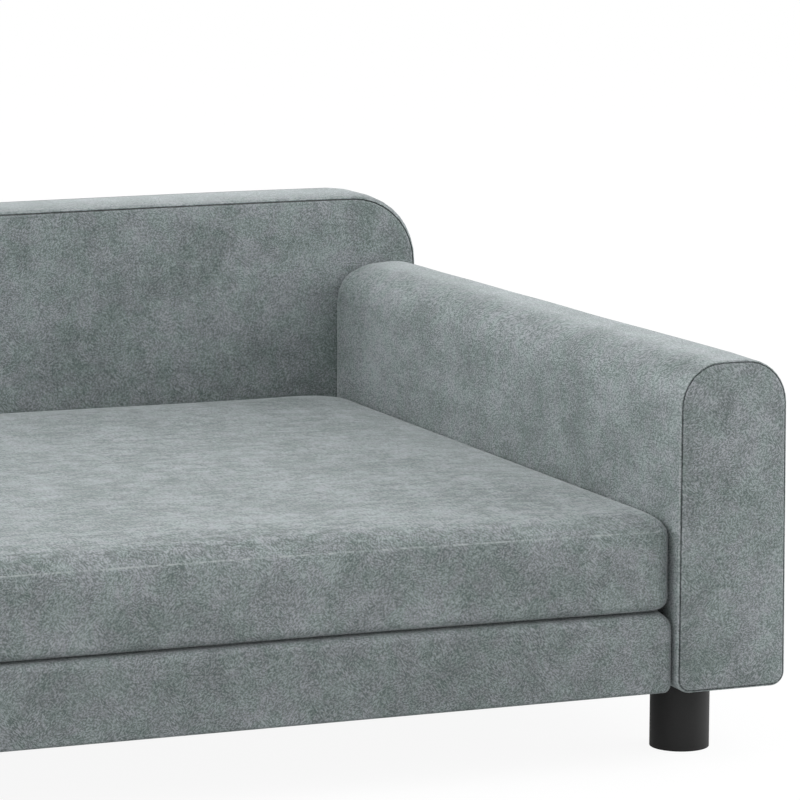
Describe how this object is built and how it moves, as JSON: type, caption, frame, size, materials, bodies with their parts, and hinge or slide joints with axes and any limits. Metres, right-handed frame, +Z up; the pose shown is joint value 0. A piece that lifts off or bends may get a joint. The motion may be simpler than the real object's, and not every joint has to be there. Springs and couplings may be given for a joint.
{
  "type": "dog sofa bed",
  "caption": "Low upholstered dog sofa bed with a back, two box arms, a padded seat base, a loose zipped seat cushion and round screw-in legs.",
  "frame": {"origin": "on the floor, under the middle of the sofa's box", "axes": "+X across the sofa to the right as seen from the front, +Y from the front to the rear, +Z up"},
  "size_m": [1, 0.65, 0.3],
  "materials": {
    "cover_cloth": "matte",
    "cushion_cloth": "matte",
    "plywood": "matte",
    "pine": "matte",
    "hardboard": "satin",
    "foam": "matte",
    "wadding": "matte",
    "dust_cloth": "matte",
    "leg_plastic": "satin",
    "steel": "satin",
    "felt": "matte",
    "zip_tape": "matte",
    "zip_metal": "satin"
  },
  "bodies": {
    "sofa": {"left_arm_inner_board": "plywood", "left_arm_outer_board": "plywood", "left_arm_bottom_board": "pine", "left_arm_top_rail": "pine", "left_arm_ribs": "pine", "left_arm_foam": "foam", "left_arm_boxing": "cover_cloth", "left_arm_front_panel": "cover_cloth", "left_arm_rear_panel": "cover_cloth", "right_arm_inner_board": "plywood", "right_arm_outer_board": "plywood", "right_arm_bottom_board": "pine", "right_arm_top_rail": "pine", "right_arm_ribs": "pine", "right_arm_foam": "foam", "right_arm_boxing": "cover_cloth", "right_arm_front_panel": "cover_cloth", "right_arm_rear_panel": "cover_cloth", "back_front_board": "plywood", "back_rear_board": "plywood", "back_bottom_rail": "pine", "back_top_rail": "pine", "back_uprights": "pine", "back_front_foam": "foam", "back_edge_foam": "foam", "back_rear_wadding": "wadding", "back_boxing": "cover_cloth", "back_front_panel": "cover_cloth", "back_rear_panel": "cover_cloth", "base_front_rail": "pine", "base_rear_rail": "pine", "left_base_rail": "pine", "right_base_rail": "pine", "base_slats": "pine", "deck_board": "hardboard", "base_foam": "foam", "base_cover": "cover_cloth", "dust_cover": "dust_cloth", "front_left_leg": "leg_plastic", "front_right_leg": "leg_plastic", "rear_left_leg": "leg_plastic", "rear_right_leg": "leg_plastic", "leg_studs": "steel", "leg_inserts": "steel", "leg_glides": "felt", "frame_bolts": "steel", "bolt_washers": "steel", "bolt_inserts": "steel"},
    "cushion": {"cushion_top_panel": "cushion_cloth", "cushion_boxing": "cushion_cloth", "cushion_bottom_panel": "cushion_cloth", "cushion_foam_core": "foam", "cushion_zip": "zip_tape"},
    "slider": {"zip_slider": "zip_metal", "zip_pull": "zip_metal"}
  },
  "joints": [
    {"name": "cushion_lift", "type": "slide", "parent": "sofa", "child": "cushion", "axis": [0, 0, 1], "range_m": [0, 0.21]},
    {"name": "zip_slide", "type": "slide", "parent": "cushion", "child": "slider", "axis": [-1, 0, 0], "range_m": [0, 0.614]}
  ]
}
